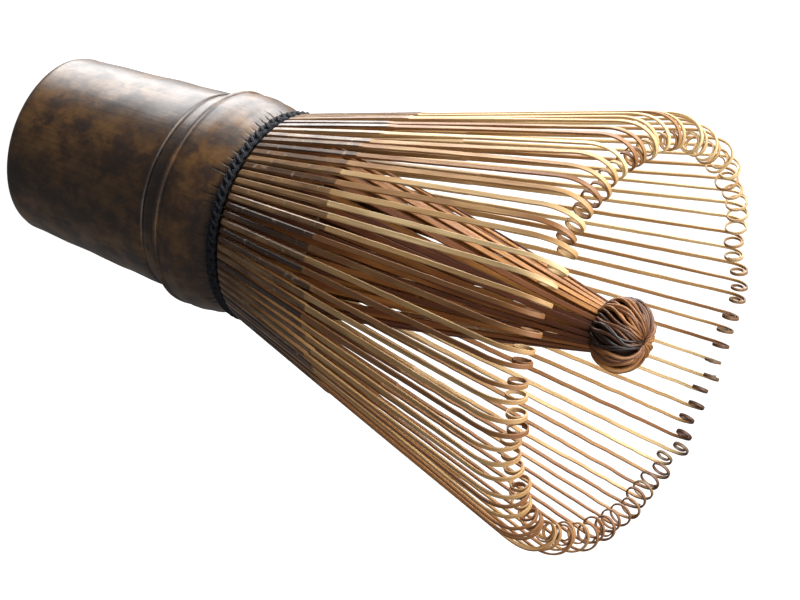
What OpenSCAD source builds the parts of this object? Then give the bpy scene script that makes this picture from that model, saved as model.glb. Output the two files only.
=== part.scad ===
/* [Culm handle] */
// Diameter of the handle at its butt
butt_d = 27.4; // [25:0.2:30]
// Diameter just below the node
waist_d = 30.4; // [29:0.2:32]
// Diameter over the sharp lip of the node
lip_d = 33.0; // [32.6:0.2:34]
// Height of the node lip above the butt
lip_z = 31.2; // [29:0.2:33]
// Height of the shoulder, where the wall is split into tines
shoulder_z = 40.6; // [39:0.2:42]
// Diameter of the hollow that opens at the butt
hollow_d = 19.2; // [16:0.2:20]
// Rounding of the outer butt edge
butt_round = 1.2; // [0.6:0.1:1.6]

/* [Outer tines] */
// Groups of outer tines around the whisk
outer_groups = 20; // [16:1:20]
// Outer tines in each group
tines_per_group = 4; // [3:1:4]
// Tangential width of an outer tine at its root
tine_w = 0.95; // [0.8:0.05:1]
// Tangential width of an outer tine where its curl starts
tine_tip_w = 0.62; // [0.5:0.02:0.7]
// Radial thickness of an outer tine at its root
tine_root_t = 1.1; // [0.8:0.05:1.2]
// Radial thickness of an outer tine where its curl starts
tine_tip_t = 0.5; // [0.4:0.05:0.6]
// Flare of the outer tines away from the axis, in degrees
flare = 15.5; // [14:0.5:16.5]
// Height where the curl of an outer tine starts
curl_z = 98; // [92:0.5:99]
// Centre-line radius of the first arc of the curl
curl_r1 = 4.4; // [4.2:0.1:4.6]
// Centre-line radius of the second arc of the curl
curl_r2 = 2.6; // [2.4:0.1:2.8]
// Centre-line radius of the last arc of the curl
curl_r3 = 1.6; // [1.5:0.1:1.8]

/* [Inner core] */
// Groups of inner tines around the core
inner_groups = 8; // [6:1:8]
// Inner tines in each group
strips_per_group = 7; // [5:1:7]
// Width of an inner tine at its root
strip_root_w = 1.15; // [0.9:0.05:1.3]
// Width of an inner tine at the neck
strip_neck_w = 0.3; // [0.24:0.02:0.32]
// Radial thickness of an inner tine
strip_t = 0.4; // [0.3:0.05:0.4]
// Mean diameter of the neck below the knot
neck_d = 6.6; // [6.4:0.1:7.2]
// Diameter of the knot
knot_d = 10.6; // [10:0.1:11.5]
// Height of the knot along the axis
knot_h = 8.8; // [8.2:0.1:9.4]
// Height of the knot's centre
knot_z = 99.6; // [98:0.2:100]

/* [Lacing thread] */
// Diameter of one wrap of the thread
thread_d = 1.0; // [0.9:0.05:1]
// Diameter of one hitch of the thread
hitch_d = 1.16; // [1.12:0.02:1.2]

/* [Hidden] */
$fn = 96;

outer_names = [for (i = [1 : outer_groups]) str("outer_tines_", i < 10 ? "0" : "", i)];
inner_names = [for (i = [1 : inner_groups]) str("inner_tines_", i < 10 ? "0" : "", i)];

// The node of the culm: a scar groove, a thin lip and the bulge above it
scar_drop = 3.4;
scar_r = 1.1;
scar_depth = 0.45;
lip_edge = 0.7;
lip_flat = 0.2;
shoulder_d = 30.0;
bulge_r = 13;
bulge_band = 4;
diaphragm_t = 3;
diaphragm_z = lip_z - 4.2;
upper_hollow_d = 23.8;
mouth_chamfer = 0.6;

// Kerfs of the splits, which run a little way down into the shoulder
kerf_w = 0.2;
kerf_h = 2.0;
kerf_depth = 1.0;
tine_count = outer_groups * tines_per_group;
tine_pitch = 360 / tine_count;
group_pitch = 360 / outer_groups;
function gap_angle(i) = (i + tines_per_group / 2) * tine_pitch;

// The unsplit web that joins the tines of a group behind the thread
web_in_r = 14.1;
web_out_r = 14.8;
web_gap = 0.05;
web_top_z = shoulder_z + 2.2;
web_side_gap = 0.4;

// The lacing is pulled down on the shoulder's edge, in the notch below the tines
lacing_gap = 0.15;
lacing_r = web_out_r + lacing_gap + thread_d / 2;
lacing_z = shoulder_z + 0.6;
wrap_pitch = 0.9 * thread_d;

// The outer face of a tine, from just above the lacing to the curl
root_clear = 0.2;
root_inset = 0.1;
root_rise = 1.2;
root_leg_z = shoulder_z + web_gap + 0.1;
root_z = lacing_z + wrap_pitch / 2 + thread_d / 2 + root_clear;
root_r = lacing_r + thread_d / 2 - root_inset;
function tine_out_r(z) = root_r + (z - root_z) * tan(flare);

// Turns of the three arcs of a curl, and how much each is finer than the one before
curl_r = [curl_r1, curl_r2, curl_r3];
curl_turn = [75 + flare, 105, 300];
curl_step_w = 0.04;
curl_step_t = 0.05;
arc_overlap = 2;

// The inner web stands on the culm inside the outer tines
inner_web_in_r = 12.2;
inner_web_out_r = 13.7;
inner_web_top_z = shoulder_z + 2.8;
strip_base_r = (inner_web_in_r + inner_web_out_r) / 2 + 0.1;
strip_base_z = inner_web_top_z - 0.8;
collar_d = neck_d + 1.6;
collar_h = 2;
collar_z = knot_z - knot_h / 2 - 0.6;
dimple_r = 0.5;
dimple_depth = 0.4;
strip_count = inner_groups * strips_per_group;
strip_lean = atan2(strip_base_r - neck_d / 2, collar_z - strip_base_z);
strip_len = norm([strip_base_r - neck_d / 2, collar_z - strip_base_z]);

// Centre of the arc of radius r through points a and b, on the axis side of them
function arc_centre(a, b, r) =
    let (mid = (a + b) / 2, along = b - a, half = norm(along) / 2)
    mid + sqrt(r * r - half * half) * [-along[1], along[0]] / norm(along);

module culm_outline() {
    lip = [lip_d / 2, lip_z];
    shoulder = [shoulder_d / 2, shoulder_z];
    difference() {
        union() {
            polygon([
                [0, 0],
                for (a = [-90 : 15 : 0])
                    [butt_d / 2 - butt_round, butt_round] + butt_round * [cos(a), sin(a)],
                [waist_d / 2, lip_z - lip_flat - lip_edge],
                lip - [0, lip_flat],
                lip,
                shoulder,
                [0, shoulder_z]
            ]);
            intersection() {
                translate(arc_centre(lip, shoulder, bulge_r)) circle(bulge_r);
                translate([shoulder_d / 2 - bulge_band, lip_z])
                    square([2 * bulge_band, shoulder_z - lip_z]);
            }
        }
        translate([waist_d / 2 + scar_r - scar_depth, lip_z - scar_drop]) circle(scar_r);
    }
}

module culm_handle() {
    color("#4a2d1a") difference() {
        rotate_extrude() culm_outline();
        translate([0, 0, -1]) cylinder(h = diaphragm_z + 1, d = hollow_d);
        translate([0, 0, -0.01])
            cylinder(h = mouth_chamfer, d1 = hollow_d + 2 * mouth_chamfer, d2 = hollow_d);
        translate([0, 0, diaphragm_z + diaphragm_t])
            cylinder(h = shoulder_z, d = upper_hollow_d);
        for (i = [0 : tine_count - 1])
            rotate(gap_angle(i))
                translate([shoulder_d / 2 - kerf_depth, -kerf_w / 2, shoulder_z - kerf_h])
                    cube([4, kerf_w, kerf_h + 1]);
    }
}

module lacing_thread() {
    color("#14151c") {
        for (side = [-1, 1])
            translate([0, 0, lacing_z + side * wrap_pitch / 2])
                rotate_extrude() translate([lacing_r, 0]) circle(d = thread_d, $fn = 32);
        for (i = [0 : tine_count - 1])
            rotate(gap_angle(i))
                translate([lacing_r, 0, lacing_z]) sphere(d = hitch_d, $fn = 32);
    }
}

module ring_sector(in_r, out_r, z0, z1, width) {
    translate([0, 0, z0]) rotate(-width / 2)
        rotate_extrude(angle = width) translate([in_r, 0]) square([out_r - in_r, z1 - z0]);
}

// One arc of a curl in the tine's own plane, turned about its centre
module curl_arc(radius, from, turn, width, thickness) {
    rotate([90, 0, 0])
        rotate(from - arc_overlap) rotate_extrude(angle = turn + arc_overlap)
            translate([radius - thickness / 2, -width / 2]) square([thickness, width]);
}

module outer_tine() {
    outer_end = [tine_out_r(curl_z), curl_z];
    across = tine_tip_t * [-cos(flare), sin(flare)];
    curl_start = outer_end + across / 2;
    intersection() {
        rotate([90, 0, 0]) linear_extrude(2 * tine_w, center = true) polygon([
            [web_in_r + root_inset, root_leg_z],
            [web_out_r - root_inset, root_leg_z],
            [web_out_r - root_inset, root_z],
            [root_r, root_z],
            outer_end,
            outer_end + across,
            [root_r - tine_root_t, root_z + root_rise]
        ]);
        rotate([90, 0, 90]) linear_extrude(2 * outer_end[0]) polygon([
            [-tine_w / 2, shoulder_z],
            [tine_w / 2, shoulder_z],
            [tine_tip_w / 2, curl_z + 1],
            [-tine_tip_w / 2, curl_z + 1]
        ]);
    }
    from = [-flare, -flare + curl_turn[0], -flare + curl_turn[0] + curl_turn[1]];
    centre_1 = curl_start - curl_r1 * [cos(from[0]), sin(from[0])];
    centre_2 = centre_1 + (curl_r1 - curl_r2) * [cos(from[1]), sin(from[1])];
    centre_3 = centre_2 + (curl_r2 - curl_r3) * [cos(from[2]), sin(from[2])];
    centres = [centre_1, centre_2, centre_3];
    for (k = [0 : len(centres) - 1])
        translate([centres[k][0], 0, centres[k][1]])
            curl_arc(curl_r[k], from[k], curl_turn[k],
                     tine_tip_w - (k + 1) * curl_step_w,
                     tine_tip_t - (k + 1) * curl_step_t);
}

module outer_tines(group) {
    color("#c49a6c") rotate(group * group_pitch) {
        ring_sector(web_in_r, web_out_r, shoulder_z + web_gap, web_top_z,
                    group_pitch - web_side_gap);
        for (i = [0 : tines_per_group - 1])
            rotate((i - (tines_per_group - 1) / 2) * tine_pitch) outer_tine();
    }
}

// A flat strip that narrows from the root to the neck and leans in on the axis
module inner_tine() {
    intersection() {
        translate([strip_base_r, 0, strip_base_z]) rotate([0, -strip_lean, 0])
            translate([-strip_t / 2, 0, 0]) rotate([90, 0, 90]) linear_extrude(strip_t)
                polygon([
                    [-strip_root_w / 2, 0],
                    [strip_root_w / 2, 0],
                    [strip_neck_w / 2, strip_len + 1],
                    [-strip_neck_w / 2, strip_len + 1]
                ]);
        cylinder(h = collar_z, r = 2 * inner_web_out_r);
    }
}

module inner_tines(group) {
    sector = 360 / inner_groups;
    color("#9a5f34") rotate((group + 0.5) * sector) {
        ring_sector(inner_web_in_r, inner_web_out_r, shoulder_z, inner_web_top_z,
                    sector - web_side_gap);
        for (i = [0 : strips_per_group - 1])
            rotate((i - (strips_per_group - 1) / 2) * 360 / strip_count) inner_tine();
    }
}

// The tips of the inner tines, wound into a flattened ball with a dimple at each pole
module core_knot() {
    color("#3a2218") translate([0, 0, knot_z]) {
        rotate_extrude() {
            intersection() {
                translate([(knot_d - knot_h) / 2, 0]) circle(d = knot_h);
                translate([dimple_r, -knot_h]) square([knot_d, 2 * knot_h]);
            }
            translate([0, dimple_depth - knot_h / 2])
                square([2 * dimple_r, knot_h - 2 * dimple_depth]);
        }
        translate([0, 0, collar_z - knot_z]) cylinder(h = collar_h, d = collar_d);
    }
}

culm_handle();
lacing_thread();
core_knot();
for (g = [0 : inner_groups - 1])
    inner_tines(g);
for (g = [0 : outer_groups - 1])
    outer_tines(g);
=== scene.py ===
import math
import random

import bpy
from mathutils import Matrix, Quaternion, Vector, noise


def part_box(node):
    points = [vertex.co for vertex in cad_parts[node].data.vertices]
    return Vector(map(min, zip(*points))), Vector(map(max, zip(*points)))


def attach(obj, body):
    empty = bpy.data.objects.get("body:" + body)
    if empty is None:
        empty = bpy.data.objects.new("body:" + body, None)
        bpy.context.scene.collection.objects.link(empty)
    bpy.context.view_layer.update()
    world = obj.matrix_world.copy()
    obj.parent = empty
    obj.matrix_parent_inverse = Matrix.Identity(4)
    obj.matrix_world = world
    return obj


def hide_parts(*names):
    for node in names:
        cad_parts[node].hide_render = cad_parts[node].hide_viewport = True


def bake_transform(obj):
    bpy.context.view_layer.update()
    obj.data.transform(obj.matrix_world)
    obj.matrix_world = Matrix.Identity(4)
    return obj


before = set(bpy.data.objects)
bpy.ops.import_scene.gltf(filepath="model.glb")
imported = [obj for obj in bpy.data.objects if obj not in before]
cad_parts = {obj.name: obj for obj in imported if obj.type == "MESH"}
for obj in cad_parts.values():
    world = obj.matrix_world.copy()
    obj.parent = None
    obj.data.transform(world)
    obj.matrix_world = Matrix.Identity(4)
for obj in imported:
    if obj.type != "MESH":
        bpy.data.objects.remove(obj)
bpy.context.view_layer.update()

MM = 0.001

# ---------------------------------------------------------------- sizes, mm
SHOULDER_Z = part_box("culm_handle")[1][2] / MM
LACING_Z = (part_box("lacing_thread")[0][2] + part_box("lacing_thread")[1][2]) / 2 / MM
KNOT_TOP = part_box("core_knot")[1][2] / MM
KNOT_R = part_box("core_knot")[1][0] / MM
GROUPS = 20
TINES_PER_GROUP = 4
TINE_COUNT = GROUPS * TINES_PER_GROUP
TINE_PITCH = math.tau / TINE_COUNT

BUTT_R = 13.7
WAIST_R = 15.15
LIP_R = 16.5
LIP_Z = 31.2
SCAR_Z = LIP_Z - 3.2
SHOULDER_R = 15.0
HOLLOW_R = 9.6
HOLLOW_TOP = 27.0
SEPTUM_TOP = 30.0
UPPER_HOLLOW_R = 11.9

LACING_R = 15.4
THREAD_R = 0.43
WRAP_OFFSET = 0.39
HITCH_R = 0.31

ROOT_Z = 42.35
ROOT_R = 15.85
FLARE = math.radians(15.5)
TINE_W = 1.02
RIND_END = 62.5
CURL_START = 96.5
SHORT_CURL_START = 99.3
OPEN_BENDS = [(0, 1 / 26), (2.5, 1 / 8), (4.5, 1 / 4.2), (7, 1 / 2.5), (9, 1 / 1.7),
              (11, 1 / 1.3), (30, 1 / 1.2)]
SHORT_BENDS = [(0, 1 / 12), (1.5, 1 / 5), (3, 1 / 2.6), (5, 1 / 1.7), (7, 1 / 1.45),
               (30, 1 / 1.3)]
TINE_TIP_W = 0.72
SHAFT_STEP = 1.2
RIND_END_STEP = 0.3
CURL_STEP = 0.36
SHAVED_SLOT, RIND_SLOT = 0, 1

INNER_COUNT = 56
INNER_NODES = 8
INNER_BASE_R = 13.3
INNER_TWIST = math.radians(24)
INNER_STEPS = 30
NECK_R = 3.1
NECK_Z = 95.0
KNOT_HALF_H = 4.35
KNOT_Z = KNOT_TOP - KNOT_HALF_H + 0.5
KNOT_LOCKS = 72
CORE_LEAN = Vector((0.0, -0.35, 0.0))


def smoothstep(a, b, x):
    t = min(1.0, max(0.0, (x - a) / (b - a)))
    return t * t * (3 - 2 * t)


def lerp(a, b, t):
    return a + (b - a) * t


def table(stops, x):
    """Smooth value at x from a short list of (x, value) stops."""
    if x <= stops[0][0]:
        return stops[0][1]
    for (x0, v0), (x1, v1) in zip(stops, stops[1:]):
        if x <= x1:
            return lerp(v0, v1, smoothstep(x0, x1, x))
    return stops[-1][1]


def bump_at(angle, middle, spread):
    """1 where angle, in radians, meets middle, falling off over spread; both in degrees."""
    apart = math.degrees(math.remainder(angle - math.radians(middle), math.tau))
    return math.exp(-(apart / spread) ** 2)


# ---------------------------------------------------------------- camera
def add_camera():
    aim = Vector((0, 5.4, 65.5)) * MM
    distance, azimuth, elevation = 395.5 * MM, math.radians(-0.9), math.radians(29.73)
    roll = math.radians(109.6)
    towards = Vector((math.cos(elevation) * math.cos(azimuth),
                      math.cos(elevation) * math.sin(azimuth), math.sin(elevation)))
    cam = bpy.data.cameras.new("camera")
    cam.lens, cam.sensor_width = 124.85, 36.0
    cam.clip_start, cam.clip_end = 0.01, 20.0
    obj = bpy.data.objects.new("camera", cam)
    bpy.context.collection.objects.link(obj)
    obj.location = aim + towards * distance
    level = towards.to_track_quat("Z", "Y")
    obj.rotation_mode = "QUATERNION"
    obj.rotation_quaternion = level @ Quaternion(Vector((0, 0, 1)), roll)
    bpy.context.scene.camera = obj


# ---------------------------------------------------------------- node helpers
class Shade:
    """A new material with a Principled shader and short ways to add nodes to it."""

    def __init__(self, name, **sockets):
        self.mat = bpy.data.materials.new(name)
        self.mat.use_nodes = True
        self.tree = self.mat.node_tree
        self.bsdf = self.tree.nodes["Principled BSDF"]
        for key, value in sockets.items():
            self.bsdf.inputs[key.replace("_", " ")].default_value = value

    def add(self, kind, **settings):
        node = self.tree.nodes.new(kind)
        for key, value in settings.items():
            setattr(node, key, value)
        return node

    def link(self, source, target):
        self.tree.links.new(source, target)

    def coords(self, scale, kind="Object"):
        tex = self.add("ShaderNodeTexCoord")
        mapping = self.add("ShaderNodeMapping")
        mapping.inputs["Scale"].default_value = scale
        self.link(tex.outputs[kind], mapping.inputs["Vector"])
        return mapping.outputs["Vector"]

    def noise(self, vector, scale=1.0, detail=4.0, distortion=0.0, rough=0.5):
        tex = self.add("ShaderNodeTexNoise")
        tex.inputs["Scale"].default_value = scale
        tex.inputs["Detail"].default_value = detail
        tex.inputs["Roughness"].default_value = rough
        tex.inputs["Distortion"].default_value = distortion
        self.link(vector, tex.inputs["Vector"])
        return tex.outputs["Fac"]

    def ramp(self, factor, stops):
        ramp = self.add("ShaderNodeValToRGB")
        elements = ramp.color_ramp.elements
        while len(elements) < len(stops):
            elements.new(0.5)
        for element, (place, colour) in zip(elements, stops):
            element.position = place
            element.color = srgb(colour)
        self.link(factor, ramp.inputs["Fac"])
        return ramp.outputs["Color"]

    def mix(self, factor, a, b, blend="MIX"):
        mix = self.add("ShaderNodeMix", data_type="RGBA", blend_type=blend)
        for value, socket in ((factor, mix.inputs[0]), (a, mix.inputs[6]), (b, mix.inputs[7])):
            if isinstance(value, bpy.types.NodeSocket):
                self.link(value, socket)
            elif isinstance(value, str):
                socket.default_value = srgb(value)
            else:
                socket.default_value = value
        return mix.outputs[2]

    def math(self, operation, a, b=0.0):
        node = self.add("ShaderNodeMath", operation=operation)
        for value, socket in ((a, node.inputs[0]), (b, node.inputs[1])):
            if isinstance(value, bpy.types.NodeSocket):
                self.link(value, socket)
            else:
                socket.default_value = value
        return node.outputs[0]

    def remap(self, value, a, b, c, d):
        node = self.add("ShaderNodeMapRange", clamp=True)
        self.link(value, node.inputs["Value"])
        for key, number in zip(("From Min", "From Max", "To Min", "To Max"), (a, b, c, d)):
            node.inputs[key].default_value = number
        return node.outputs["Result"]

    def attribute(self, name):
        node = self.add("ShaderNodeAttribute", attribute_name=name)
        return node.outputs["Fac"]

    def bump(self, height, strength, distance):
        node = self.add("ShaderNodeBump")
        node.inputs["Strength"].default_value = strength
        node.inputs["Distance"].default_value = distance
        self.link(height, node.inputs["Height"])
        self.link(node.outputs["Normal"], self.bsdf.inputs["Normal"])

    def colour(self, socket):
        self.link(socket, self.bsdf.inputs["Base Color"])

    def roughness(self, socket):
        self.link(socket, self.bsdf.inputs["Roughness"])


def srgb(text):
    """'#rrggbb' as linear RGBA."""
    def linear(c):
        return c / 12.92 if c <= 0.04045 else ((c + 0.055) / 1.055) ** 2.4
    return [linear(int(text[i:i + 2], 16) / 255) for i in (1, 3, 5)] + [1.0]


# ---------------------------------------------------------------- materials
def smoked_rind():
    """Glossy mottled skin of the culm, redder at the node and golden on the shoulder, darker
    towards the shoulder's top, with painted shade in the splits.
    """
    s = Shade("smoked_rind", Coat_Weight=0.22, Coat_Roughness=0.24)
    place = s.coords((1, 1, 1))
    split = s.add("ShaderNodeSeparateXYZ")
    s.link(place, split.inputs[0])
    height = split.outputs["Z"]
    blotches = s.noise(s.coords((240, 240, 210)), detail=10, distortion=0.15, rough=0.66)
    patches = s.noise(s.coords((80, 80, 60)), detail=3, distortion=0.3)
    streaks = s.noise(s.coords((1500, 1500, 45)), detail=5)
    handle = s.ramp(blotches, [(0.42, "#120705"), (0.49, "#28140b"), (0.54, "#5a351b"),
                               (0.62, "#9c6a35"), (0.72, "#6a4429")])
    soot = s.ramp(patches, [(0.4, "#3a241a"), (0.56, "#ffffff")])
    handle = s.mix(0.65, handle, soot, "MULTIPLY")
    shoulder = s.ramp(blotches, [(0.38, "#26150a"), (0.47, "#573819"), (0.56, "#8b602d"),
                                 (0.7, "#ab7f45")])
    shoulder = s.mix(0.45, shoulder, soot, "MULTIPLY")
    band = s.ramp(blotches, [(0.3, "#1f100b"), (0.6, "#41231a"), (0.8, "#6b4330")])
    wobble = s.math("MULTIPLY_ADD", patches, 0.003)
    edge = s.math("ADD", height, wobble)
    in_band = s.remap(edge, 0.0262, 0.0285, 0, 1)
    on_shoulder = s.remap(edge, 0.0318, 0.0345, 0, 1)
    # the shoulder darkens towards its top, by the thread
    darker_near_top = s.remap(edge, 0.0385, 0.0415, 0, 0.7)
    colour = s.mix(in_band, handle, band)
    colour = s.mix(on_shoulder, colour, shoulder)
    colour = s.mix(darker_near_top, colour, "#241710")
    colour = s.mix(s.remap(streaks, 0.4, 0.7, 0, 0.35), colour, "#120a06")
    # painted shade: the splits that run on into the shoulder are darkened almost to black, for the
    # shade inside them
    kerf_shade = s.attribute("kerf_shade")
    colour = s.mix(kerf_shade, colour, "#0c0705")
    s.colour(colour)
    s.roughness(s.remap(blotches, 0.3, 0.75, 0.5, 0.33))
    s.bump(s.math("ADD", streaks, s.math("MULTIPLY", blotches, 0.6)), 0.25, 0.00012)
    return s.mat


def cut_end():
    """End grain: pale ground with the dark dots of the fibre bundles."""
    s = Shade("cut_end", Roughness=0.6)
    cells = s.add("ShaderNodeTexVoronoi")
    cells.inputs["Scale"].default_value = 1.0
    s.link(s.coords((1900, 1900, 300)), cells.inputs["Vector"])
    dots = s.remap(cells.outputs["Distance"], 0.22, 0.4, 1, 0)
    ground = s.ramp(s.noise(s.coords((300, 300, 300))), [(0.3, "#8f6a42"), (0.7, "#c09a6a")])
    s.colour(s.mix(dots, ground, "#5a3a20"))
    s.bump(dots, 0.3, 0.0001)
    return s.mat


def hollow_skin():
    """The inside of the culm: matt, pale brown, with a fine lengthwise grain."""
    s = Shade("hollow_skin", Roughness=0.75)
    grain = s.noise(s.coords((900, 900, 60)), detail=6)
    s.colour(s.ramp(grain, [(0.3, "#6d4c2e"), (0.7, "#a98558")]))
    s.bump(grain, 0.3, 0.0002)
    return s.mat


def split_bamboo(name, low, mid, high, root, roughness, base_shade_reach):
    """Shaved bamboo with fibres along each strand, a tone of its own per strand, and painted shade
    darkening each strand towards its start.
    """
    s = Shade(name, Specular_IOR_Level=0.5)
    fibres = s.noise(s.coords((12, 11, 1), "UV"), detail=5)
    cloud = s.noise(s.coords((1.5, 9, 1), "UV"), detail=2)
    tone = s.math("ADD", s.attribute("tone"), s.remap(cloud, 0.3, 0.7, -0.18, 0.18))
    colour = s.ramp(tone, [(0.1, low), (0.5, mid), (0.9, high)])
    colour = s.mix(s.remap(fibres, 0.42, 0.68, 0, 0.42), colour, root)
    # painted shade: each strand darkens to the fibre colour towards its start, where the strands
    # crowd together (under the ball, for the knot's locks)
    colour = s.mix(s.remap(s.attribute("along"), 0, base_shade_reach, 0.75, 0), colour, root)
    # darker brown along the curls of the outer tines
    colour = s.mix(s.attribute("curl_darkening"), colour, "#3d2110")
    s.colour(colour)
    s.roughness(s.remap(fibres, 0.3, 0.7, roughness, roughness + 0.18))
    s.bump(fibres, 0.25, 0.00006)
    return s.mat


def tine_rind():
    """The strip of dark skin left on the root of each outer tine."""
    s = Shade("tine_rind", Coat_Weight=0.2, Coat_Roughness=0.25)
    fibres = s.noise(s.coords((12, 14, 1), "UV"), detail=5)
    blotch = s.noise(s.coords((2, 26, 1), "UV"), detail=4)
    tone = s.math("ADD", s.math("MULTIPLY", s.attribute("tone"), 0.6),
                  s.math("MULTIPLY", blotch, 0.6))
    colour = s.ramp(tone, [(0.3, "#38200e"), (0.5, "#5f4023"), (0.72, "#8f6c46")])
    colour = s.mix(s.remap(fibres, 0.42, 0.66, 0, 0.55), colour, "#25160b")
    specks = s.noise(s.coords((900, 900, 900)), detail=3)
    colour = s.mix(s.remap(specks, 0.62, 0.72, 0, 0.5), colour, "#b59e80")
    s.colour(colour)
    s.roughness(s.remap(blotch, 0.3, 0.7, 0.45, 0.32))
    s.bump(fibres, 0.3, 0.00008)
    return s.mat


def black_thread():
    """Near-black cotton with the twist of its plies, with painted shade in the grooves between the
    plies and painted light on their crowns.
    """
    s = Shade("black_thread", Specular_IOR_Level=0.3)
    plies = s.add("ShaderNodeTexWave", wave_type="BANDS", bands_direction="DIAGONAL")
    plies.inputs["Scale"].default_value = 2.4
    plies.inputs["Distortion"].default_value = 0.6
    s.link(s.coords((1, 110, 1), "UV"), plies.inputs["Vector"])
    fuzz = s.noise(s.coords((6000, 6000, 6000)), detail=2)
    # painted light on the crowns of the plies and painted shade in the grooves between them
    lit = s.ramp(fuzz, [(0.3, "#0a0d15"), (0.7, "#161b29")])
    s.colour(s.mix(plies.outputs["Fac"], "#040406", lit))
    s.roughness(s.remap(fuzz, 0.3, 0.7, 0.55, 0.8))
    s.bump(plies.outputs["Fac"], 0.6, 0.00012)
    return s.mat


# ---------------------------------------------------------------- mesh building
# faces of strip_section, from the first, that look away from the whisk's axis
OUTWARD_FACES = 3


def ring_axes(path, side, i, closed):
    """Side and normal, at right angles to the path, of the ring at point i."""
    count = len(path)
    before = path[i - 1] if (i or closed) else path[i]
    after = path[(i + 1) % count] if (i < count - 1 or closed) else path[i]
    tangent = (after - before).normalized()
    side = (side - tangent * side.dot(tangent)).normalized()
    return side, tangent.cross(side)


class Strands:
    """Strips and cords swept along their paths, gathered into one mesh."""

    def __init__(self):
        self.verts, self.faces, self.slots = [], [], []
        self.uvs, self.tone, self.along, self.curl_darkening = [], [], [], []

    def sweep(self, path, sides, section, tone, slots=None, closed=False, curl_darkening=None):
        """Sweep section(i), a list of (side, normal) offsets in mm, along path.

        slots holds one slot per ring for the outward faces; the others take slot 0.
        curl_darkening, one number per ring, is how far it is darkened to brown.
        """
        rings = []
        run = 0.0
        for i, point in enumerate(path):
            side, normal = ring_axes(path, sides[i], i, closed)
            if i:
                run += (point - path[i - 1]).length
            ring = []
            for a, b in section(i):
                ring.append(len(self.verts))
                self.verts.append((point + side * a + normal * b) * MM)
                self.tone.append(tone)
                self.along.append(run)
                self.curl_darkening.append(curl_darkening[i] if curl_darkening else 0.0)
            rings.append((ring, run))
        pairs = list(zip(rings, rings[1:]))
        if closed:
            end_run = run + (path[0] - path[-1]).length
            pairs.append((rings[-1], (rings[0][0], end_run)))
        # each strand takes its own part of the texture
        shift = tone * 7.3
        self.skin(pairs, slots, shift)
        if not closed:
            self.cap(rings, shift)

    def skin(self, pairs, slots, shift):
        for i, ((ring_a, run_a), (ring_b, run_b)) in enumerate(pairs):
            size = len(ring_a)
            for k in range(size):
                n = (k + 1) % size
                self.faces.append((ring_a[k], ring_a[n], ring_b[n], ring_b[k]))
                u0, u1 = k / size + shift, (k + 1) / size + shift
                self.uvs += [(u0, run_a / 100), (u1, run_a / 100),
                             (u1, run_b / 100), (u0, run_b / 100)]
                self.slots.append(slots[i] if slots and k < OUTWARD_FACES else 0)

    def cap(self, rings, shift):
        for (ring, at), flip in ((rings[0], False), (rings[-1], True)):
            self.faces.append(tuple(ring) if flip else tuple(reversed(ring)))
            self.uvs += [(shift, at / 100)] * len(ring)
            self.slots.append(0)

    def build(self, name, materials, crisp=False):
        mesh = bpy.data.meshes.new(name)
        mesh.from_pydata(self.verts, [], self.faces)
        layer = mesh.uv_layers.new(name="UVMap")
        layer.data.foreach_set("uv", [c for uv in self.uvs for c in uv])
        for key, values in (("tone", self.tone), ("along", self.along),
                            ("curl_darkening", self.curl_darkening)):
            mesh.attributes.new(key, "FLOAT", "POINT").data.foreach_set("value", values)
        for material in materials:
            mesh.materials.append(material)
        mesh.polygons.foreach_set("material_index", self.slots)
        mesh.polygons.foreach_set("use_smooth", [True] * len(self.faces))
        if crisp:
            mesh.set_sharp_from_angle(angle=math.radians(32))
        mesh.validate()
        mesh.update()
        obj = bpy.data.objects.new(name, mesh)
        bpy.context.collection.objects.link(obj)
        return obj


def strip_section(width, thickness):
    """Rectangle with softened corners, as (side, normal) offsets."""
    a, b = width / 2, thickness / 2
    c = 0.2 * min(width, thickness)
    return [(-a, -b + c), (-a + c, -b), (a - c, -b), (a, -b + c),
            (a, b - c), (a - c, b), (-a + c, b), (-a, b - c)]


def round_section(radius, squash=1.0, sides=8):
    return [(radius * math.cos(k * math.tau / sides),
             radius * squash * math.sin(k * math.tau / sides)) for k in range(sides)]


def polar(radius, angle, z):
    return Vector((radius * math.cos(angle), radius * math.sin(angle), z))


def tangential(angle):
    return Vector((-math.sin(angle), math.cos(angle), 0))


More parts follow.
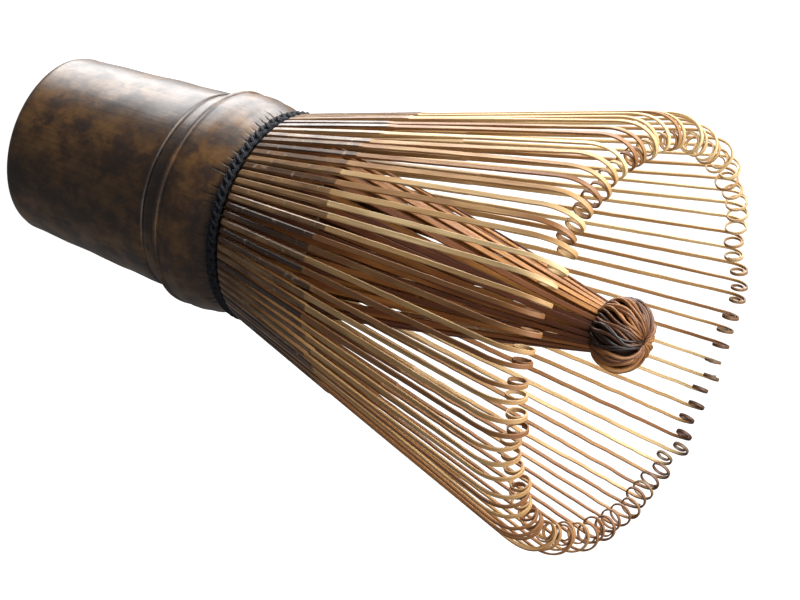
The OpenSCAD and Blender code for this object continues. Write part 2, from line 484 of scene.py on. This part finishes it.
# ---------------------------------------------------------------- culm handle
def culm_profile():
    """Outline as (radius, z, slot): hollow, butt, outer skin, shoulder, upper hollow."""
    rind, end, hollow = 0, 1, 2
    points = [(0.0, HOLLOW_TOP, hollow), (3.0, HOLLOW_TOP - 0.1, hollow),
              (HOLLOW_R - 1.2, HOLLOW_TOP - 0.5, hollow), (HOLLOW_R, HOLLOW_TOP - 1.8, hollow),
              (HOLLOW_R, 12.0, hollow), (HOLLOW_R, 1.0, hollow), (HOLLOW_R + 0.15, 0.35, end),
              (HOLLOW_R + 0.6, 0.0, end), (11.4, 0.0, end), (BUTT_R - 1.15, 0.0, end),
              (BUTT_R - 0.6, 0.12, rind), (BUTT_R - 0.2, 0.45, rind), (BUTT_R, 1.1, rind)]
    skin = [(1.1, BUTT_R), (10, 14.18), (20, 14.78), (SCAR_Z - 1.0, WAIST_R),
            (SCAR_Z - 0.35, WAIST_R - 0.02), (SCAR_Z, WAIST_R - 0.38),
            (SCAR_Z + 0.35, WAIST_R - 0.05), (SCAR_Z + 0.9, WAIST_R + 0.1),
            (LIP_Z - 1.0, WAIST_R + 0.22), (LIP_Z - 0.45, WAIST_R + 0.55), (LIP_Z, LIP_R),
            (LIP_Z + 0.28, LIP_R - 0.02), (LIP_Z + 0.6, LIP_R - 0.28),
            (LIP_Z + 1.4, LIP_R - 0.12), (LIP_Z + 3.0, LIP_R - 0.06),
            (LIP_Z + 5.0, LIP_R - 0.36), (LIP_Z + 7.2, LIP_R - 0.9),
            (SHOULDER_Z - 0.9, SHOULDER_R + 0.12), (SHOULDER_Z - 0.25, SHOULDER_R - 0.05)]
    z = 2.2
    while z < SHOULDER_Z - 0.25:
        near_node = SCAR_Z - 1.5 < z < LIP_Z + 1.8
        points.append((table(skin, z), z, rind))
        z += 0.16 if near_node else 0.7
    points += [(SHOULDER_R - 0.06, SHOULDER_Z - 0.2, rind), (SHOULDER_R - 0.2, SHOULDER_Z, end),
               (13.4, SHOULDER_Z, end), (UPPER_HOLLOW_R + 0.2, SHOULDER_Z, end),
               (UPPER_HOLLOW_R, SHOULDER_Z - 0.3, hollow),
               (UPPER_HOLLOW_R, SEPTUM_TOP + 1.5, hollow),
               (UPPER_HOLLOW_R - 1.5, SEPTUM_TOP, hollow), (0.0, SEPTUM_TOP - 0.2, hollow)]
    return points


def kerf_depth(radius, z, angle):
    """How deep the splits between the tines run on into the shoulder."""
    tine = (angle / TINE_PITCH) % 1.0
    reach = 1.2 + 2.0 * noise.noise((round(angle / TINE_PITCH) * 3.7, 1.3, 0))
    in_kerf = tine < 0.07 or tine > 0.93
    outer = radius > UPPER_HOLLOW_R + 0.3 and z > SHOULDER_Z - reach
    return 0.25 if (in_kerf and outer) else 0.0


def culm_point(radius, z, angle):
    """The profile's point at angle, with the waviness of a grown stem."""
    x, y = math.cos(angle), math.sin(angle)
    r = radius
    if radius > HOLLOW_R + 2:
        out_of_round = noise.noise((x * 0.8, y * 0.8, z * 0.02 + 3.1))
        r += 0.22 * out_of_round * min(1, z / 2) * (z < SHOULDER_Z - 2)
        ripple = noise.noise((x * 4, y * 4, z * 0.35))
        r += 0.05 * ripple * (z > 1) * (z < SHOULDER_Z - 1)
    lip_wave = 0.28 * noise.noise((x * 1.6, y * 1.6, 7.7))
    near_lip = smoothstep(SCAR_Z - 4, SCAR_Z, z)
    near_lip *= 1 - smoothstep(LIP_Z + 2, LIP_Z + 6, z)
    return polar(r - kerf_depth(radius, z, angle), angle,
                 z + lip_wave * near_lip * (radius > 14))


def add_culm(materials):
    columns = TINE_COUNT * 8
    profile = culm_profile()
    verts, kerf_shade_marks, faces, slots = [], [], [], []
    for radius, z, _ in profile:
        for i in range(columns):
            angle = i * math.tau / columns
            verts.append(culm_point(radius, z, angle) * MM)
            # how strongly the painted shade darkens each split column, read by the rind material
            kerf_shade_marks.append(0.95 if kerf_depth(radius, z, angle) else 0.0)
    for j in range(len(profile) - 1):
        for i in range(columns):
            n = (i + 1) % columns
            faces.append((j * columns + i, j * columns + n,
                          (j + 1) * columns + n, (j + 1) * columns + i))
            slots.append(profile[j + 1][2])
    mesh = bpy.data.meshes.new("culm")
    mesh.from_pydata(verts, [], faces)
    mesh.attributes.new("kerf_shade", "FLOAT", "POINT").data.foreach_set("value", kerf_shade_marks)
    for material in materials:
        mesh.materials.append(material)
    mesh.polygons.foreach_set("material_index", slots)
    mesh.polygons.foreach_set("use_smooth", [True] * len(faces))
    mesh.validate()
    mesh.update()
    obj = bpy.data.objects.new("culm", mesh)
    bpy.context.collection.objects.link(obj)
    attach(obj, "handle")
    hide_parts("culm_handle")


# ---------------------------------------------------------------- lacing
def add_lacing(material):
    """Two wraps that weave over and under the tines, and a hitch at every gap."""
    strands = Strands()
    steps = TINE_COUNT * 8
    for side in (-1, 1):
        path, sides = [], []
        for i in range(steps):
            angle = i * math.tau / steps
            weave = side * math.sin(angle * TINE_COUNT / 2)
            path.append(polar(LACING_R + 0.13 * weave, angle,
                              LACING_Z + side * WRAP_OFFSET + 0.08 * math.sin(angle * TINE_COUNT)))
            sides.append(Vector((0, 0, 1)))
        strands.sweep(path, sides, lambda i: round_section(THREAD_R), 0.3 + 0.2 * side,
                      closed=True)
    for k in range(TINE_COUNT):
        middle = k * TINE_PITCH
        path, sides = [], []
        for i in range(9):
            t = i / 8 * 2 - 1
            path.append(polar(LACING_R + 0.08 + 0.3 * math.cos(t * 1.2),
                              middle + t * 0.34 * TINE_PITCH, LACING_Z + t * 0.52))
            sides.append(tangential(middle))
        strands.sweep(path, sides, lambda i: round_section(HITCH_R), 0.35 + 0.3 * (k % 2))
    obj = strands.build("lacing", [material])
    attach(obj, "handle")
    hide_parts("lacing_thread")


# ---------------------------------------------------------------- outer tines
def tine_line(z):
    return ROOT_R + (z - ROOT_Z) * math.tan(FLARE)


def shaft_points(rng, short, angle):
    """Root and shaft of one outer tine as (radius, z, thickness), and the slot of each ring."""
    bow = rng.uniform(-0.25, 0.35)
    # the mouth isn't quite round: these vary the tines' length and lean around it
    longer = bump_at(angle, 125, 45)
    upright = bump_at(angle, 122, 23)
    fuller = bump_at(angle, 72, 28)
    rind_end = RIND_END + rng.uniform(-1.3, 1.3)
    points = [(14.45, SHOULDER_Z - 0.6, 0.9), (14.5, LACING_Z + 0.6, 0.9),
              (14.9, ROOT_Z + 0.15, 1.05)]
    slots = [RIND_SLOT, RIND_SLOT]
    z = 43.1
    start = lerp(CURL_START, SHORT_CURL_START, short)
    start += 0.45 * longer + rng.uniform(-0.8, 0.6)
    while z < start:
        t = (z - ROOT_Z) / (start - ROOT_Z)
        thickness = lerp(1.0, 0.72, smoothstep(43, rind_end, z))
        step = smoothstep(rind_end - 0.15, rind_end + 0.15, z)
        thickness = lerp(thickness, 0.45 - 0.14 * t, step)
        outer = tine_line(z) + bow * math.sin(math.pi * t) + 0.12 * (1 - step)
        outer += (0.2 * longer + 0.6 * fuller - 1.4 * upright) * t * t
        points.append((outer - thickness / 2 * math.cos(FLARE), z, thickness))
        slots.append(RIND_SLOT if z < rind_end else SHAVED_SLOT)
        close = abs(z - rind_end) < 0.9
        z += RIND_END_STEP if close else SHAFT_STEP
    return points, slots


def curl_points(rng, short, angle, r, z):
    """The curl that follows a shaft ending at r, z: its bending tightens as it runs."""
    heading = math.pi / 2 - FLARE
    tight = rng.uniform(0.93, 1.1)
    rolled = smoothstep(0.72, 0.97, -math.cos(angle))
    length = rng.uniform(17.5, 21) - 5 * short
    points = []
    run = 0.0
    while run < length:
        bend = lerp(table(OPEN_BENDS, run), table(SHORT_BENDS, run), short) * tight
        bend *= 1 + 0.65 * rolled * smoothstep(4, 9, run)
        heading += bend * CURL_STEP
        r += math.cos(heading) * CURL_STEP
        z += math.sin(heading) * CURL_STEP
        run += CURL_STEP
        points.append((r, z, lerp(0.31, 0.18, run / length)))
    return points


def outer_tine_path(rng, short, angle):
    """Centre line of one outer tine in its own plane, as (radius, z, thickness).

    short runs from 0, a curl that opens gently, to 1, a small ring at the very tip.
    The tines on the far side, away from +X, close further into a roll.
    """
    points, slots = shaft_points(rng, short, angle)
    r, z, _ = points[-1]
    curl = curl_points(rng, short, angle, r, z)
    return points + curl, slots + [SHAVED_SLOT] * len(curl)


def sweep_outer_tine(strands, rng, angle, freedom):
    """Add one outer tine; freedom scales how far its tip may stray sideways."""
    short = smoothstep(-0.1, 0.6, -math.cos(angle))
    points, slots = outer_tine_path(rng, short, angle)
    sway = freedom * rng.uniform(-0.32, 0.32)
    drift = freedom * rng.uniform(-0.5, 0.5)
    broad = rng.uniform(0.9, 1.06)
    # the curls darken to brown, most around 168°, on the far side away from +X
    brown = 0.15 + 0.8 * bump_at(angle, 168, 46)
    ripple = 0.04 + 0.12 * bump_at(angle, 128, 45)
    path, sides, sizes, curl_darkening = [], [], [], []
    curl_begin = next(i for i, s in enumerate(points) if s[1] > CURL_START - 2)
    for i, (r, z, thickness) in enumerate(points):
        t = min(1.0, max(0.0, (z - ROOT_Z) / (CURL_START - ROOT_Z)))
        curl = max(0, i - curl_begin) / max(1, len(points) - curl_begin)
        aside = sway * t * t + drift * curl * curl
        aside += ripple * noise.noise((z * 0.45, angle * 9, 4.1)) * smoothstep(60, 70, z)
        curl_darkening.append(brown * smoothstep(0.1, lerp(0.6, 0.3, short), curl))
        path.append(polar(r, angle, z) + tangential(angle) * aside)
        sides.append(tangential(angle))
        width = lerp(TINE_W, TINE_TIP_W - 0.22 * short, t) * broad
        sizes.append((width * lerp(1.0, 0.8, curl), thickness))
    # a random tone per tine, plus painted light that makes the far side lighter (around -130°) and
    # painted shade that makes the +Y side darker (around 75°)
    tone = rng.random() + 0.25 * bump_at(angle, -130, 70) - 0.45 * bump_at(angle, 75, 60)
    strands.sweep(path, sides, lambda i: strip_section(*sizes[i]), tone, slots, curl_darkening=curl_darkening)


def add_outer_tines(materials):
    rng = random.Random(80)
    for group in range(GROUPS):
        strands = Strands()
        for k in range(TINES_PER_GROUP):
            angle = (group + (k - (TINES_PER_GROUP - 1) / 2) / TINES_PER_GROUP) \
                * math.tau / GROUPS
            # the outer tines of a group stay clear of the next group's when it flexes
            freedom = 0.45 if k in (0, TINES_PER_GROUP - 1) else 1.0
            sweep_outer_tine(strands, rng, angle, freedom)
        number = f"{group + 1:02d}"
        obj = strands.build(f"tines_{number}", materials, crisp=True)
        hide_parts(f"outer_tines_{number}")
        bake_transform(obj)


# ---------------------------------------------------------------- inner core
def core_lean(z):
    """The tied core leans a little to one side towards its top."""
    return CORE_LEAN * smoothstep(50, 100, z)


def add_inner_tines(material):
    rng = random.Random(12)
    strands = Strands()
    for k in range(INNER_COUNT):
        layer = k % 2
        base_r = INNER_BASE_R - 0.55 * layer
        neck_r = NECK_R + 0.3 - 0.5 * layer
        angle = k * math.tau / INNER_COUNT + rng.uniform(-0.02, 0.02)
        twist = INNER_TWIST * rng.uniform(0.75, 1.25)
        belly = rng.uniform(0.0, 0.9)
        width = rng.uniform(1.0, 1.3)
        path, sides, sizes = [], [], []
        for i in range(INNER_STEPS + 1):
            t = i / INNER_STEPS
            z = lerp(SHOULDER_Z - 0.4, NECK_Z + 2.7, t)
            ease = t ** 1.08
            r = lerp(base_r, neck_r, ease) + belly * math.sin(math.pi * t)
            a = angle + twist * t * t
            path.append(polar(r, a, z) + core_lean(z))
            sides.append(tangential(a))
            sizes.append((lerp(width, 0.66, t ** 1.3), lerp(0.42, 0.24, t)))
        strands.sweep(path, sides, lambda i: strip_section(*sizes[i]), rng.random())
    obj = strands.build("inner_core", [material], crisp=True)
    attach(obj, "handle")
    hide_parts(*[f"inner_tines_{i + 1:02d}" for i in range(INNER_NODES)])


def knot_point(polar_angle, azimuth, proud):
    """A point on the flattened ball; polar_angle 0 is the pole that faces up."""
    r = (KNOT_R - 0.45 + proud) * math.sin(polar_angle) ** 0.92
    z = KNOT_Z + (KNOT_HALF_H - 0.35 + proud * 0.8) * math.cos(polar_angle)
    dimple = 0.9 * math.exp(-(r / 1.1) ** 2) if polar_angle < 1 else 0.0
    return polar(r, azimuth, z - dimple) + core_lean(z)


def sweep_lock(strands, rng, k):
    """Add lock number k, wound from under the ball to its upper pole."""
    start = k * math.tau / KNOT_LOCKS + rng.uniform(-0.05, 0.05)
    swirl = math.radians(rng.uniform(10, 42))
    proud = rng.uniform(-0.25, 0.3)
    dark = max(bump_at(start, 5, 32), 0.8 * bump_at(start, -105, 20))
    tone = min(1, max(0, 0.72 - 0.68 * dark + rng.uniform(-0.24, 0.24)))
    width = math.tau * KNOT_R / KNOT_LOCKS * rng.uniform(0.95, 1.4)
    path, sides, sizes = [], [], []
    for i in range(26):
        t = i / 25
        theta = lerp(math.radians(152), math.radians(6), t)
        azimuth = start + swirl * (t ** 1.6) + 0.08 * math.sin(t * 9 + k)
        wave = proud * math.sin(math.pi * t) + 0.1 * math.sin(t * 7 + k * 2.1)
        path.append(knot_point(theta, azimuth, wave))
        sides.append(tangential(azimuth))
        narrow = max(0.18, math.sin(theta) ** 0.8)
        sizes.append((width * narrow, 0.55 * lerp(1, narrow, 0.6)))
    strands.sweep(path, sides,
                  lambda i: round_section(sizes[i][0] / 2, sizes[i][1] / sizes[i][0] * 1.15),
                  tone)


def sweep_shade_heart(strands):
    """Add a dark core inside the ball: painted shade, seen in the gaps between the locks."""
    rings = 17
    radii, axis = [], []
    for i in range(rings):
        turn = math.pi * i / (rings - 1)
        radii.append(max(0.05, (KNOT_R - 1.0) * math.sin(math.pi * (1 - i / (rings - 1)))))
        axis.append(Vector((0, 0, KNOT_Z - (KNOT_HALF_H - 0.9) * math.cos(turn)))
                    + core_lean(KNOT_Z))
    strands.sweep(axis, [Vector((1, 0, 0))] * rings,
                  lambda i: round_section(radii[i], 1.0, 24), 0.0)


def add_knot(material):
    rng = random.Random(5)
    strands = Strands()
    for k in range(KNOT_LOCKS):
        sweep_lock(strands, rng, k)
    sweep_shade_heart(strands)
    obj = strands.build("knot_locks", [material])
    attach(obj, "handle")
    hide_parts("core_knot")


# ---------------------------------------------------------------- studio
def add_floor():
    bpy.ops.mesh.primitive_plane_add(size=6.0, location=(0, 0, -0.05 * MM))
    floor = bpy.context.object
    floor.name = "floor"
    s = Shade("floor_white", Roughness=0.9, Emission_Strength=1.0)
    s.bsdf.inputs["Emission Color"].default_value = (1, 1, 1, 1)
    s.colour(s.ramp(s.noise(s.coords((3, 3, 3)), detail=1), [(0.0, "#6c6c6c"), (1.0, "#747474")]))
    floor.data.materials.append(s.mat)
    floor.visible_diffuse = False
    floor.visible_glossy = False
    floor.visible_shadow = False


def add_area(name, azimuth, elevation, distance, size, power):
    """A square softbox that faces the middle of the whisk."""
    light = bpy.data.lights.new(name, "AREA")
    light.shape, light.size, light.energy = "SQUARE", size, power
    obj = bpy.data.objects.new(name, light)
    bpy.context.collection.objects.link(obj)
    a, e = math.radians(azimuth), math.radians(elevation)
    towards = Vector((math.cos(e) * math.cos(a), math.cos(e) * math.sin(a), math.sin(e)))
    obj.location = Vector((0, 0, 50)) * MM + towards * distance
    obj.rotation_mode = "QUATERNION"
    obj.rotation_quaternion = towards.to_track_quat("Z", "Y")


def add_studio():
    add_floor()
    world = bpy.context.scene.world or bpy.data.worlds.new("world")
    bpy.context.scene.world = world
    world.use_nodes = True
    background = world.node_tree.nodes["Background"]
    background.inputs["Color"].default_value = (1, 1, 1, 1)
    background.inputs["Strength"].default_value = 0.17
    add_area("key", -84, 26, 0.6, 0.45, 7.0)
    add_area("low", -106, -28, 0.6, 0.54, 7.0)
    add_area("mouth", -60, 64, 0.6, 0.5, 4.2)
    add_area("front", 50, 52, 0.6, 0.4, 1.2)
    bpy.context.scene.view_settings.view_transform = "Standard"


def main():
    add_camera()
    rind, end, hollow = smoked_rind(), cut_end(), hollow_skin()
    shaved = split_bamboo("shaved_bamboo", "#8a5c33", "#c09762", "#e4c591", "#6c4726", 0.42, 40)
    inner = split_bamboo("inner_bamboo", "#4c240c", "#7e491c", "#ac7436", "#3c1d0b", 0.42, 32)
    knot = split_bamboo("knot_bamboo", "#1c0d07", "#6b3f1e", "#b27c46", "#1a0c07", 0.36, 2)
    add_culm([rind, end, hollow])
    add_lacing(black_thread())
    add_outer_tines([shaved, tine_rind()])
    add_inner_tines(inner)
    add_knot(knot)
    add_studio()


main()
